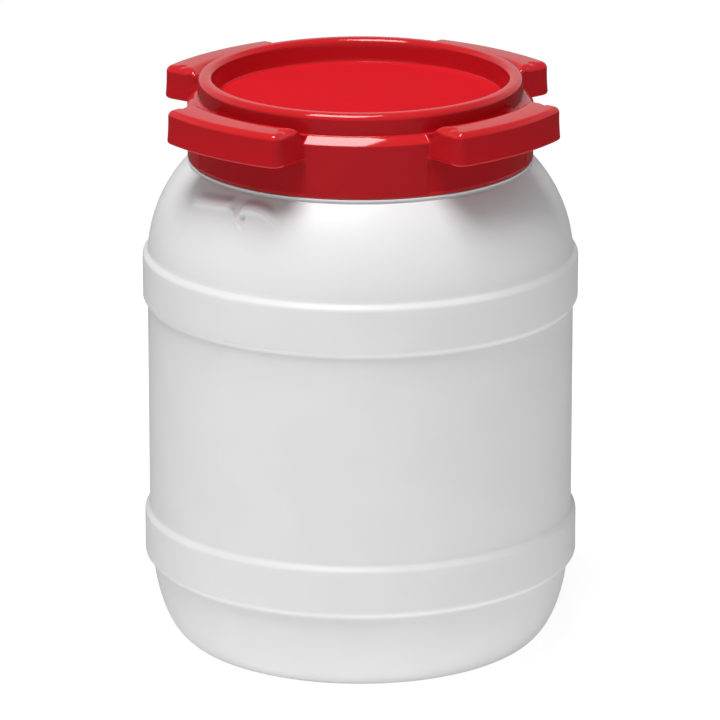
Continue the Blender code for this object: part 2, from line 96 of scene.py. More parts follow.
# Nib on the front parting line: two wings, a slanting fin and a hollow beside it.
# Wings start, end and have their level at degrees from the parting line. Other heights and
# places are measured on the shoulder, up from NIB_Z and sideways from the parting line.
NIB_Z = 0.2192
NIB_PROUD = 0.0020
NIB_UPPER_RUN = 0.0060
NIB_LOWER_HOLD = 0.0013
NIB_LOWER_RUN = 0.0031
NIB_REACH = (-22, 17)
NIB_ZONE = (SHOULDER_Z + 0.0040, LEDGE_Z - 0.0006)
SIDE_PER_DEGREE = 0.0015
LEFT_WING = {"start": -22, "start_run": 7, "end": -4, "end_run": 2.4,
             "level": 0.0016, "level_at": -4.5, "slope": 0.00018}
RIGHT_WING = {"start": 0.8, "start_run": 2.4, "end": 11.5, "end_run": 5,
              "level": 0.0028, "level_at": 6.3, "bend_before": 0.0001, "bend_after": 0.00006}
FIN = {"height": 0.0009, "width": 0.0010, "side": -0.0014, "slant": 0.86,
       "foot": -0.0088, "foot_run": 0.0020, "top": 0.0004, "top_run": 0.0016}
HOLLOW = {"depth": 0.0023, "side": 0.0047, "width": 0.0013, "level": -0.0020, "height": 0.0014}

# Steps of the drum's mesh
COLUMN_DEGREES = 1.5
CLOSEST_COLUMNS = 0.09
# Closer columns: the middle and the spacing in degrees, then the first step and the one after the last
CLOSE_COLUMNS = ((PARTING_DEGREES, 0.4, -56, 46), (PARTING_DEGREES, 0.2, -22, 36),
                 (PARTING_DEGREES, 0.12, -5, 6), (PARTING_DEGREES + 180, 0.12, -5, 6))
FOOT_STEPS = 26
INNER_FOOT_STEPS = 16
MIDDLE_STEPS = 14
SHOULDER_STEP = 0.00045
INNER_SHOULDER_STEP = 0.0025
NECK_STEPS = 100
BORE_LEVELS = (RIM_Z - 0.012, LEDGE_Z + 0.002)

# Sealing ring
SEAL_Z = 0.2614
SEAL_TOP_Z = 0.2641
SEAL_CLEARANCE = 0.0003
SEAL_FILLET = 0.0005
SEAL_COLUMNS = 240

# Screw lid
CREST_Z = 0.2667
DISC_Z = 0.2552
DISC_WALL = 0.0022
DISC_RINGS = [radius / 1000 for radius in (0, 8, 16, 24, 32, 40, 48, 56, 62)]
UNDER_DISC_RADII = (0.05, 0.03, 0.0)
DISC_COLOUR_INSET = 0.0002
DISC_COLOUR_LOWEST_Z = DISC_Z - 0.0001
DISC_COLOUR_TOP_Z = DISC_Z + 0.0012
LID_LEDGE_Z = 0.2567
LID_LEDGE_WALL = 0.0024
SKIRT_Z = 0.2290
CHANNEL_ROOF_Z = 0.2644
PLUG_RADIUS = 0.0693
CHANNEL_RADIUS = 0.0727
BEAD_RADIUS = 0.0743
BEAD_FILLET = 0.0030
BEAD_INNER_FILLET = 0.0026
BEAD_FOOT_FILLET = 0.0004
DISH_TOP_RADIUS = 0.0677
DISH_RADIUS = 0.0664
DISH_FILLET = 0.0014
DISH_WALL_TOP_RADIUS = DISH_TOP_RADIUS - 0.0003
SKIRT_RADIUS = 0.0790
SKIRT_INNER_RADIUS = 0.0760
SKIRT_SHOULDER = 0.0032
SHOULDER_BULGE = 0.00012
SKIRT_LIP = 0.0006
LID_INNER_FILLET = 0.0004

# Grips
GRIP_COUNT = 4
FIRST_GRIP_ANGLE = math.radians(47.2)
GRIP_ANGLES = [FIRST_GRIP_ANGLE + math.tau * i / GRIP_COUNT for i in range(GRIP_COUNT)]
GRIP_RADIUS = 0.0973
GRIP_HALF_LENGTH = 0.0337
GRIP_FLARE = 0.12
GRIP_BOW_RADIUS = 0.1250
GRIP_TOP_Z = 0.2617
GRIP_Z = 0.2460
GRIP_CROWN_RADIUS = 0.0845
GRIP_CROWN_FALL = 0.0003
GRIP_INNER_ARC = 0.0049
GRIP_FOOT_FILLET = 0.0005
GRIP_DRAFT = 0.0009
GRIP_DRAFT_POWER = 1.4
GRIP_TOP_FILLET = 0.0030
GRIP_CORNER = 0.0058
GRIP_TOP_CORNER = 0.0034
GRIP_END_FILLET = 0.0038
GRIP_FOOT_EDGE = 0.0010
CROWN_END_SLOPE = math.radians(4)
FILLET_FOOT_Z = GRIP_TOP_Z - GRIP_CROWN_FALL - GRIP_TOP_FILLET
WEB_FILLET = 0.0010
GRIP_LOWER_FILLET = 0.0014
RIM_JOIN_Z = GRIP_Z + GRIP_LOWER_FILLET
FLARE_ANGLE = math.atan(GRIP_FLARE)

# Recess in the skirt below each grip, and the hollow inside the grip
RECESS_RADIUS = 0.0776
RECESS_FOOT_Z = 0.2304
RECESS_FOOT_SHARE = 0.2
CEILING_WALL = 0.0024
CEILING_STEP_RADIUS = 0.0806
PIT_FOOT_RISE = 0.0006
PIT_FOOT_Z = GRIP_Z + PIT_FOOT_RISE

# Round dimple near each end of a grip's top. It is pressed only into what faces upward enough.
DIMPLE_ACROSS = 0.0302
DIMPLE_OUT = 0.0837
DIMPLE_RADIUS = 0.0024
DIMPLE_DEPTH = 0.0006
DIMPLE_FACING = 0.6

# Steps of the lid's mesh
WEB_STEPS = 4
END_STEPS = 8
CORNER_STEPS = 8
ARC_SHARES = [i / 50 for i in range(17)] + [0.4, 0.5, 0.6, 0.7, 0.8, 0.9, 1.0]
GAP_STEPS = 28
INNER_ARC_STEPS = 12
CROWN_STEPS = 14
FILLET_STEPS = 8
LID_THREAD_ROWS = 74
# Heights of the rows on a grip's walls. Down to WALL_LEVEL_Z they slant towards the skirt.
WALL_LEVEL_Z = 0.2502
WALL_LEVELS = (0.2565, 0.2550, 0.2535, 0.2519, WALL_LEVEL_Z, 0.2491, 0.2482, RIM_JOIN_Z)
# A hollow's rows: share of the way up to the ceiling, and inset from the grip's outline
PIT_LEVELS = ((0, 0.0030), (0.3, 0.0031), (0.6, 0.0032), (0.85, 0.0035), (0.93, 0.0039),
              (0.98, 0.0045), (1, 0.0055))
# A grip's lower edge: share of the way from its outline to the hollow, and rise from GRIP_Z
RIM_ANGLES = [math.pi / 2 * i / 8 for i in range(9)]
RIM_PROFILE = [(0.5 * (1 - math.cos(a)), GRIP_LOWER_FILLET * (1 - math.sin(a))) for a in RIM_ANGLES]
RIM_PROFILE += [(0.93, 0.0001), (1, PIT_FOOT_RISE)]
# Heights of the rows on the skirt below the grips
RECESS_LEVELS = (0.2446, 0.2430, 0.2410, 0.2390, 0.2370, 0.2350, 0.2330, 0.2314, 0.2306, 0.2302, 0.2299)

# Plastics. Painted shade: where the vertical part of the lid's normal is below the first tilt, it has a
# darker red that stands in for the shade on upright walls, and from the second tilt on the plain red.
WHITE_COLOURS = ((0.765, 0.765, 0.772), (0.79, 0.79, 0.798))
RED_COLOURS = ((0.575, 0.009, 0.013), (0.605, 0.010, 0.015))
RED_WALL_SHADE_COLOUR = (0.41, 0.008, 0.013)
RED_WALL_SHADE_TILTS = (0.03, 0.38)
RED_DISC_COLOURS = ((0.61, 0.013, 0.020), (0.64, 0.014, 0.022))
SEAL_COLOURS = ((0.58, 0.57, 0.54), (0.66, 0.65, 0.62))
DRIFT_SCALE = 28
GLOSS_SCALE = 160
GRAIN_DEPTH = 0.001

# Room: greys of the world and the floor, and how strongly the floor glows
WORLD_LIGHT = 0.25
WORLD_GLOSS_DARK = 0.25
WORLD_GLOSS_PALE = 0.55
FLOOR_GREY = 0.9
FLOOR_GREY_SEEN = 0.4
FLOOR_GREY_GLOSS = 0.15
FLOOR_GLOW = 0.42
FLOOR_GLOW_SEEN = 0.82
FLOOR_SIZE = 40

# Lamp and camera. Lens and sensor are in millimetres.
LAMP_PLACE = (-0.20, -0.42, 1.45)
LAMP_TARGET = (-0.02, -0.02, 0.24)
LAMP_SIZE = (0.66, 0.72)
LAMP_WATTS = 17.4
CAMERA_PLACE = (-0.0002, -2.7273, 0.9576)
CAMERA_TARGET = (-0.0002, 0, 0.1306)
CAMERA_LENS = 308.57
CAMERA_SENSOR = 36


def polar(radius, angle, z):
    """A point from its radius, its angle from the front (-Y) towards +X, and its height."""
    return Vector((radius * math.sin(angle), -radius * math.cos(angle), z))


def mix(a, b, share):
    return a + (b - a) * share


def along(start, end, share):
    """The point at a share of the way from one point of a plane to another."""
    return mix(start[0], end[0], share), mix(start[1], end[1], share)


def smooth(value):
    value = min(1.0, max(0.0, value))
    return value * value * (3 - 2 * value)


def fillet(before, corner, after, radius, steps):
    """Points of the arc that rounds one corner of an outline in the (r, z) plane."""
    corner = Vector(corner)
    to_before = (Vector(before) - corner).normalized()
    to_after = (Vector(after) - corner).normalized()
    half_angle = to_before.angle(to_after) / 2
    centre = corner + (to_before + to_after).normalized() * (radius / math.sin(half_angle))
    first = corner + to_before * (radius / math.tan(half_angle)) - centre
    last = corner + to_after * (radius / math.tan(half_angle)) - centre
    turn = first.angle_signed(last)
    points = []
    for step in range(steps + 1):
        angle = -turn * step / steps
        points.append((centre.x + first.x * math.cos(angle) - first.y * math.sin(angle),
                       centre.y + first.x * math.sin(angle) + first.y * math.cos(angle)))
    return points


def line(start, end, steps):
    """Points inside a straight stretch, without its ends."""
    return [along(start, end, i / steps) for i in range(1, steps)]


def strip(bm, low, high, closed=True):
    """Quads between two equal rows of points. Equal points are merged by finish_mesh()."""
    below = [bm.verts.new(point) for point in low]
    above = [bm.verts.new(point) for point in high]
    count = len(low)
    for i in range(count if closed else count - 1):
        j = (i + 1) % count
        bm.faces.new((below[i], below[j], above[j], above[i]))


def finish_mesh(name, bm, body, node, materials, sharp=50):
    """Merge equal points, point faces outward, and put the piece in the frame in place of its node."""
    bmesh.ops.remove_doubles(bm, verts=bm.verts, dist=0.000002)
    bmesh.ops.recalc_face_normals(bm, faces=bm.faces)
    mesh = bpy.data.meshes.new(name)
    bm.to_mesh(mesh)
    bm.free()
    mesh.shade_smooth()
    mesh.set_sharp_from_angle(angle=math.radians(sharp))
    for material in materials:
        mesh.materials.append(material)
    piece = bpy.data.objects.new(name, mesh)
    bpy.context.collection.objects.link(piece)
    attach(piece, body)
    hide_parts(node)
    return piece


def thread_height(thread, angle, z):
    """How far a helical thread stands out of its wall at an angle and a height."""
    turn = (angle - PARTING_ANGLE) / math.tau % 1.0
    root_half = THREAD_CREST_HALF + thread["height"] * THREAD_SLOPE
    tallest = 0.0
    for more in range(-1, 3):
        run = turn + more - thread["lag"]
        if 0 <= run <= thread["turns"]:
            away = abs(z - thread["start"] - THREAD_PITCH * (turn + more))
            fade = smooth(min(run, thread["turns"] - run) / THREAD_FADE_TURNS)
            flank = (root_half - away) / THREAD_SLOPE
            tallest = max(tallest, min(thread["height"], flank) * fade)
    return tallest


# Drum body

def shoulder_centre():
    start = Vector((SHOULDER_FOOT_RADIUS, SHOULDER_Z))
    end = Vector((SHOULDER_TOP_RADIUS, LEDGE_Z))
    chord = end - start
    outward = Vector((chord.y, -chord.x)).normalized()
    return (start + end) / 2 - outward * math.sqrt(SHOULDER_ARC ** 2 - (chord.length / 2) ** 2)


def shoulder_points(inset, step):
    """The shoulder's arc, with points at about the given distance."""
    centre = shoulder_centre()
    radius = SHOULDER_ARC - inset
    first = math.atan2(SHOULDER_Z - centre.y, SHOULDER_FOOT_RADIUS - centre.x)
    last = math.atan2(LEDGE_Z - centre.y, SHOULDER_TOP_RADIUS - centre.x)
    count = round((last - first) * radius / step)
    angles = [mix(first, last, i / count) for i in range(count + 1)]
    return [(centre.x + radius * math.cos(angle), centre.y + radius * math.sin(angle))
            for angle in angles]


def foot_points(inset, steps):
    width = FOOT_RADIUS - CONTACT_RADIUS - inset
    height = FOOT_CURVE_HEIGHT - inset
    last = math.asin((LOWER_BAND_Z - BAND_TOE - FOOT_CURVE_HEIGHT) / height)
    angles = [mix(-math.pi / 2, last, i / steps) for i in range(steps + 1)]
    return [(CONTACT_RADIUS + width * math.cos(angle), FOOT_CURVE_HEIGHT + height * math.sin(angle))
            for angle in angles]


def band_points(bottom_z, radius_below, radius_above):
    """A raised band with softly rounded edges and a small cove above and below it."""
    top_z = bottom_z + BAND_HEIGHT
    below = (radius_below, bottom_z)
    lower = (BAND_RADIUS, bottom_z + BAND_TOE)
    upper = (BAND_RADIUS, top_z - BAND_TOE)
    above = (radius_above, top_z)
    points = fillet((radius_below, bottom_z - BAND_TOE * 2), below, lower, BAND_TOE, 4)
    points += fillet(below, lower, upper, BAND_EDGE, 7)
    points += line((BAND_RADIUS, lower[1] + BAND_EDGE), (BAND_RADIUS, upper[1] - BAND_EDGE), 6)
    points += fillet(lower, upper, above, BAND_EDGE, 7)
    points += fillet(upper, above, (radius_above, top_z + BAND_TOE * 2), BAND_TOE, 4)
    return points


def body_outline():
    """Rows of the shell: from the middle of its base up the outside, and down the inside."""
    foot = foot_points(0, FOOT_STEPS)
    panel_edge = (PANEL_RADIUS, PANEL_RISE)
    contact_inner = (CONTACT_INNER_RADIUS, 0)
    middle_foot = (MIDDLE_RADIUS, LOWER_BAND_Z + BAND_HEIGHT + BAND_CLEARANCE)
    middle_top = (MIDDLE_RADIUS, UPPER_BAND_Z - BAND_CLEARANCE)
    outer = [(radius, PANEL_RISE) for radius in PANEL_RINGS]
    outer += fillet((0, PANEL_RISE), panel_edge, contact_inner, PANEL_FILLET, 4)
    outer += fillet(panel_edge, contact_inner, (CONTACT_RADIUS, 0), CONTACT_FILLET, 4)
    outer += foot
    outer += band_points(LOWER_BAND_Z, foot[-1][0], MIDDLE_RADIUS)
    outer += line(middle_foot, middle_top, MIDDLE_STEPS)
    outer += band_points(UPPER_BAND_Z, MIDDLE_RADIUS, SHOULDER_FOOT_RADIUS)
    outer += shoulder_points(0, SHOULDER_STEP)[3:-1]

    groove = (GROOVE_RADIUS, GROOVE_Z)
    groove_top = (GROOVE_RADIUS, COLLAR_FOOT_Z)
    collar_foot = (COLLAR_RADIUS, COLLAR_FOOT_Z)
    ledge = (COLLAR_RADIUS, COLLAR_Z)
    root = (NECK_RADIUS, COLLAR_Z)
    rim_outside = (NECK_RADIUS, RIM_Z)
    rim_inside = (NECK_BORE_RADIUS, RIM_Z)
    bore_end = (NECK_BORE_RADIUS, LEDGE_Z - WALL)
    outer += fillet(outer[-1], groove, groove_top, GROOVE_FILLET, 3)
    outer += fillet(groove, groove_top, collar_foot, COLLAR_FILLET, 3)
    outer += fillet(groove_top, collar_foot, ledge, COLLAR_FILLET, 3)
    outer += fillet(collar_foot, ledge, root, COLLAR_FILLET, 4)
    outer += fillet(ledge, root, rim_outside, NECK_ROOT_FILLET, 4)
    outer += line((NECK_RADIUS, COLLAR_Z + NECK_ROOT_FILLET), (NECK_RADIUS, RIM_Z - RIM_FILLET),
                  NECK_STEPS)
    outer += fillet(root, rim_outside, rim_inside, RIM_FILLET, 4)
    outer += fillet(rim_outside, rim_inside, bore_end, RIM_FILLET, 4)

    inner = [(NECK_BORE_RADIUS, z) for z in BORE_LEVELS]
    inner += shoulder_points(WALL, INNER_SHOULDER_STEP)[::-1]
    for bottom_z in (UPPER_BAND_Z, LOWER_BAND_Z):
        top_z = bottom_z + BAND_HEIGHT
        inner += [(MIDDLE_RADIUS - WALL, top_z - WALL),
                  (BAND_RADIUS - WALL, top_z - BAND_TOE - WALL),
                  (BAND_RADIUS - WALL, bottom_z + BAND_TOE + WALL),
                  (MIDDLE_RADIUS - WALL, bottom_z + WALL)]
    inner += foot_points(WALL, INNER_FOOT_STEPS)[::-1]
    inner += [(PANEL_RADIUS, PANEL_RISE + WALL), (0.0, PANEL_RISE + WALL)]
    return outer, inner


def body_angles():
    """Columns round the drum: closest together at the nib and along the parting lines."""
    angles = {round(i * COLUMN_DEGREES, 3) for i in range(round(360 / COLUMN_DEGREES))}
    for middle, spacing, first, end in CLOSE_COLUMNS:
        angles |= {round(middle + i * spacing, 3) % 360 for i in range(first, end)}
    ordered = sorted(angles)
    kept = [ordered[0]]
    for angle in ordered[1:]:
        if angle - kept[-1] > CLOSEST_COLUMNS:
            kept.append(angle)
    return [math.radians(angle) for angle in kept]


def nib_wing(off):
    """Level of a wing's ridge and how far it has grown, at degrees from the parting line."""
    wing = LEFT_WING if off < 0 else RIGHT_WING
    grown = smooth((off - wing["start"]) / wing["start_run"])
    grown *= 1 - smooth((off - wing["end"]) / wing["end_run"])
    past = off - wing["level_at"]
    if off < 0:
        return wing["level"] + wing["slope"] * past, grown
    bend = wing["bend_after"] if past > 0 else wing["bend_before"]
    return wing["level"] - bend * past ** 2, grown


def nib_height(angle, arc):
    """How far the nib stands out. arc is the distance up the shoulder from the nib's middle."""
    off = math.degrees((angle - PARTING_ANGLE + math.pi) % math.tau - math.pi)
    if not NIB_REACH[0] < off < NIB_REACH[1]:
        return 0.0
    level, grown = nib_wing(off)
    fallen = (arc - level) / NIB_UPPER_RUN
    if arc < level:
        fallen = (level - arc - NIB_LOWER_HOLD) / (NIB_LOWER_RUN - NIB_LOWER_HOLD)
    ridge = NIB_PROUD * grown * (1 - smooth(fallen))
    side = off * SIDE_PER_DEGREE
    fin_side = FIN["side"] - arc * FIN["slant"]
    fin = FIN["height"] * math.exp(-((side - fin_side) / FIN["width"]) ** 2)
    fin *= smooth((arc - FIN["foot"]) / FIN["foot_run"])
    fin *= 1 - smooth((arc - FIN["top"]) / FIN["top_run"])
    across = (side - HOLLOW["side"]) / HOLLOW["width"]
    up = (arc - HOLLOW["level"]) / HOLLOW["height"]
    return ridge + fin - HOLLOW["depth"] * math.exp(-across ** 2 - up ** 2)


def seam_distance(angle):
    """Angle to the nearer of the two parting lines."""
    turned = [(angle - PARTING_ANGLE + math.pi + turn) % math.tau - math.pi for turn in (0, math.pi)]
    return min(abs(turn) for turn in turned)


def outside_point(radius, z, angle, centre, nib_up):
    """A point of the drum's outside, with the parting line, the nib and the thread on its outline."""
    grown_radius, grown_z = radius, z
    if SEAM_FOOT_Z < z < LEDGE_Z:
        grown_radius += SEAM_PROUD * (1 - smooth(seam_distance(angle) / SEAM_HALF_ANGLE))
    if NIB_ZONE[0] < z < NIB_ZONE[1]:
        up = math.atan2(z - centre.y, radius - centre.x)
        proud = nib_height(angle, (up - nib_up) * SHOULDER_ARC)
        grown_radius += proud * math.cos(up)
        grown_z += proud * math.sin(up)
    elif NECK_THREAD_ZONE[0] < z < NECK_THREAD_ZONE[1]:
        grown_radius += thread_height(NECK_THREAD, angle, z)
    return polar(grown_radius, angle, grown_z)


def build_body(material):
    outer, inner = body_outline()
    centre = shoulder_centre()
    nib_up = math.asin((NIB_Z - centre.y) / SHOULDER_ARC)
    angles = body_angles()
    rows = [[outside_point(radius, z, angle, centre, nib_up) for angle in angles] for radius, z in outer]
    rows += [[polar(radius, angle, z) for angle in angles] for radius, z in inner]
    bm = bmesh.new()
    for low, high in zip(rows, rows[1:]):
        strip(bm, low, high)
    return finish_mesh("drum_shell", bm, "drum", "drum_body", [material])


# Sealing ring

def build_seal(material):
    inner = PLUG_RADIUS + SEAL_CLEARANCE
    outer = CHANNEL_RADIUS - SEAL_CLEARANCE
    corners = [(inner, SEAL_Z), (outer, SEAL_Z), (outer, SEAL_TOP_Z), (inner, SEAL_TOP_Z)]
    outline = []
    for i in range(4):
        outline += fillet(corners[i - 1], corners[i], corners[(i + 1) % 4], SEAL_FILLET, 4)
    angles = [math.tau * i / SEAL_COLUMNS for i in range(SEAL_COLUMNS)]
    rows = [[polar(radius, angle, z) for angle in angles] for radius, z in outline]
    bm = bmesh.new()
    for low, high in zip(rows, rows[1:] + rows[:1]):
        strip(bm, low, high)
    return finish_mesh("seal_ring", bm, "seal", "lid_gasket", [material])


# Screw lid

def place(centre_angle, point, z):
    across, out = point
    return polar(math.hypot(across, out), centre_angle + math.atan2(across, out), z)


def skirt_radius(z):
    """Radius of the cap beside the grips: sloping shoulder, slightly bulged, then straight skirt."""
    share = (z - LID_LEDGE_Z + SKIRT_SHOULDER) / SKIRT_SHOULDER
    if share <= 0:
        return SKIRT_RADIUS
    share = min(1.0, share)
    return SKIRT_RADIUS - SKIRT_SHOULDER * share + SHOULDER_BULGE * 4 * share * (1 - share) * math.sqrt(2)


def wall_inset(z):
    """Inset of a grip's outer and end walls from its widest outline. They flare near its lower edge."""
    below_top = 1 - min(1.0, (z - RIM_JOIN_Z) / (FILLET_FOOT_Z - RIM_JOIN_Z))
    return GRIP_DRAFT * (1 - below_top ** GRIP_DRAFT_POWER)


def wall_offset(inset):
    """How far the line of a grip's end wall passes from its middle, level with the lid's axis."""
    return GRIP_HALF_LENGTH - inset - GRIP_FLARE * SKIRT_RADIUS


def on_line(offset, radius):
    """Where a line with the end walls' slant meets a circle, as (across, out)."""
    square = 1 + GRIP_FLARE ** 2
    out = (math.sqrt(square * radius ** 2 - offset ** 2) - offset * GRIP_FLARE) / square
    return offset + GRIP_FLARE * out, out


def outer_half(inset, corner):
    """From the end wall's outer end round the corner to the grip's middle, as (across, out)."""
    bow_centre = GRIP_RADIUS - GRIP_BOW_RADIUS
    bow = GRIP_BOW_RADIUS - inset
    offset = wall_offset(inset) - corner / math.cos(FLARE_ANGLE) + GRIP_FLARE * bow_centre
    corner_across, corner_out = on_line(offset, bow - corner)
    corner_angle = math.atan2(corner_across, corner_out)
    points = []
    for step in range(CORNER_STEPS):
        angle = mix(math.pi / 2 + FLARE_ANGLE, corner_angle, step / CORNER_STEPS)
        points.append((corner_across + corner * math.sin(angle),
                       bow_centre + corner_out + corner * math.cos(angle)))
    for share in ARC_SHARES:
        angle = corner_angle * (1 - share)
        points.append((bow * math.sin(angle), bow_centre + bow * math.cos(angle)))
    return points


def end_wall(start, end):
    return [along(start, end, i / END_STEPS) for i in range(END_STEPS)]


def whole(half_points):
    """Both halves of a grip outline, in order of angle."""
    mirrored = [(-point[0], *point[1:]) for point in half_points]
    return mirrored + [tuple(point) for point in half_points[-2::-1]]


def web_points(z):
    """Concave fillet between the skirt and a grip's end wall at a height."""
    offset = wall_offset(wall_inset(z)) + WEB_FILLET / math.cos(FLARE_ANGLE)
    centre = on_line(offset, skirt_radius(z) + WEB_FILLET)
    first = math.atan2(-centre[1], -centre[0])
    points = []
    for step in range(WEB_STEPS + 1):
        angle = mix(first, -math.pi - FLARE_ANGLE, step / WEB_STEPS)
        points.append((centre[0] + WEB_FILLET * math.cos(angle),
                       centre[1] + WEB_FILLET * math.sin(angle)))
    return points


def gap_angles(index, half_angle):
    """Angles between one grip's end and the next one's, without the ends."""
    first = GRIP_ANGLES[index] + half_angle
    last = GRIP_ANGLES[index] + math.tau / GRIP_COUNT - half_angle
    return [mix(first, last, i / GAP_STEPS) for i in range(1, GAP_STEPS)]


def grip_section():
    """A grip's section from the valley beside the bead over its crown and down its outer wall.

    Each item is the point's radius and height at the grip's middle, how much of the outer wall's
    bow its row has, the surface's normal there, the rounding of the end's edge at that point, and
    the height on the skirt where its row of the end wall starts.
    """
    arc_z = GRIP_TOP_Z - GRIP_INNER_ARC
    first = math.asin((LID_LEDGE_Z - arc_z) / GRIP_INNER_ARC)
    arc = []
    for step in range(INNER_ARC_STEPS + 1):
        angle = mix(first, math.pi / 2, step / INNER_ARC_STEPS)
        arc.append((GRIP_CROWN_RADIUS - GRIP_INNER_ARC * math.cos(angle),
                    arc_z + GRIP_INNER_ARC * math.sin(angle)))
    start = (math.hypot(*web_points(LID_LEDGE_Z)[-1]), LID_LEDGE_Z)
    foot = fillet(start, arc[0], arc[1], GRIP_FOOT_FILLET, 4)
    points = [start] + line(start, foot[0], 3) + foot + arc[1:]
    fillet_radius = GRIP_RADIUS - GRIP_DRAFT - GRIP_TOP_FILLET
    crown_end = (fillet_radius + GRIP_TOP_FILLET * math.sin(CROWN_END_SLOPE),
                 FILLET_FOOT_Z + GRIP_TOP_FILLET * math.cos(CROWN_END_SLOPE))
    for step in range(1, CROWN_STEPS):
        share = step / CROWN_STEPS
        points.append((mix(GRIP_CROWN_RADIUS, crown_end[0], share),
                       mix(GRIP_TOP_Z, crown_end[1], share ** 2)))
    for step in range(FILLET_STEPS + 1):
        angle = mix(CROWN_END_SLOPE, math.pi / 2, step / FILLET_STEPS)
        points.append((fillet_radius + GRIP_TOP_FILLET * math.sin(angle),
                       FILLET_FOOT_Z + GRIP_TOP_FILLET * math.cos(angle)))

    section = []
    shoulder_foot_z = LID_LEDGE_Z - SKIRT_SHOULDER
    last = len(points) - 1
    stops = ((start[0], 0), (arc[0][0], GRIP_FOOT_EDGE), (GRIP_CROWN_RADIUS, GRIP_END_FILLET),
             (crown_end[0], GRIP_TOP_CORNER), (GRIP_RADIUS, GRIP_TOP_CORNER))
    for i, (radius, z) in enumerate(points):
        run = Vector(points[min(i + 1, last)]) - Vector(points[max(i - 1, 0)])
        normal = Vector((-run.y, run.x)).normalized()
        if i == last:
            normal = Vector((1, 0))
        edge = 0.0
        for (low, edge_low), (high, edge_high) in zip(stops, stops[1:]):
            if low <= radius <= high:
                edge = mix(edge_low, edge_high, (radius - low) / (high - low))
        skirt_z = shoulder_foot_z + SKIRT_SHOULDER * math.cos(math.pi / 2 * i / last)
        bowed = min(1.0, max(0.0, (radius - arc[0][0]) / (fillet_radius - arc[0][0])))
        section.append((radius, z, bowed, normal, edge, skirt_z))
    for z in WALL_LEVELS:
        share = (FILLET_FOOT_Z - z) / (FILLET_FOOT_Z - RIM_JOIN_Z)
        skirt_z = min(shoulder_foot_z, z)
        if z > WALL_LEVEL_Z:
            level_share = (FILLET_FOOT_Z - z) / (FILLET_FOOT_Z - WALL_LEVEL_Z)
            skirt_z = mix(shoulder_foot_z, WALL_LEVEL_Z, level_share)
        edge = mix(GRIP_TOP_CORNER, GRIP_CORNER, share)
        section.append((GRIP_RADIUS - wall_inset(z), z, 1.0, Vector((1, 0)), edge, skirt_z))
    return section


def dimple_depth(across, out, up):
    """How deep the dimple is at a point whose normal has the vertical part up."""
    away = math.hypot(across - DIMPLE_ACROSS, out - DIMPLE_OUT) / DIMPLE_RADIUS
    if up < DIMPLE_FACING or away > 1:
        return 0.0
    return DIMPLE_DEPTH * (1 - smooth(away * 2 - 1))


def grip_row(radius, z, bowed, normal, edge, skirt_z):
    """A row across half a grip: web, end wall, rounded edge, then to the middle, as (across, out, z)."""
    web = web_points(skirt_z)
    bow_centre = bowed * (GRIP_RADIUS - GRIP_BOW_RADIUS)
    bow = radius - bow_centre
    centre_z = z - edge * normal.y
    offset = wall_offset(wall_inset(centre_z)) - edge / math.cos(FLARE_ANGLE)
    centre_across, centre_out = on_line(offset + GRIP_FLARE * bow_centre, bow - edge * normal.x)
    angle = math.atan2(centre_across, centre_out)
    centre = Vector((centre_across, bow_centre + centre_out, centre_z))
    side = Vector((math.cos(FLARE_ANGLE), -math.sin(FLARE_ANGLE), 0))
    outward = Vector((normal.x * math.sin(angle), normal.x * math.cos(angle), normal.y))
    corner = centre + side * edge
    points = [(across, out, skirt_z) for across, out in web[:-1]]
    for step in range(END_STEPS):
        share = step / END_STEPS
        height = mix(skirt_z, corner.z, share)
        out = mix(web[-1][1], corner.y, share)
        points.append((wall_offset(wall_inset(height)) + GRIP_FLARE * out, out, height))
    for step in range(CORNER_STEPS):
        facing = side.slerp(outward, step / CORNER_STEPS)
        across, out, height = centre + facing * edge
        points.append((across, out, height - dimple_depth(across, out, facing.z)))
    for share in ARC_SHARES:
        column = angle * (1 - share)
        across, out = bow * math.sin(column), bow_centre + bow * math.cos(column)
        points.append((across, out, z - dimple_depth(across, out, normal.y)))
    return points


def dish_outline():
    """From the middle of the dish over the bead to the ledge round it."""
    dish = (DISH_RADIUS, DISC_Z)
    bead_inner = (DISH_TOP_RADIUS, CREST_Z)
    bead_outer = (BEAD_RADIUS, CREST_Z)
    bead_foot = (BEAD_RADIUS, LID_LEDGE_Z)
    points = [(radius, DISC_Z) for radius in DISC_RINGS]
    points += fillet((0, DISC_Z), dish, bead_inner, DISH_FILLET, 6)
    points += line(points[-1], (DISH_WALL_TOP_RADIUS, CREST_Z - BEAD_INNER_FILLET), 4)
    points += fillet(dish, bead_inner, bead_outer, BEAD_INNER_FILLET, 10)
    points += fillet(bead_inner, bead_outer, bead_foot, BEAD_FILLET, 12)
    points += line((BEAD_RADIUS, CREST_Z - BEAD_FILLET), (BEAD_RADIUS, LID_LEDGE_Z + BEAD_FOOT_FILLET), 4)
    points += fillet(bead_outer, bead_foot, (SKIRT_RADIUS, LID_LEDGE_Z), BEAD_FOOT_FILLET, 4)
    return points


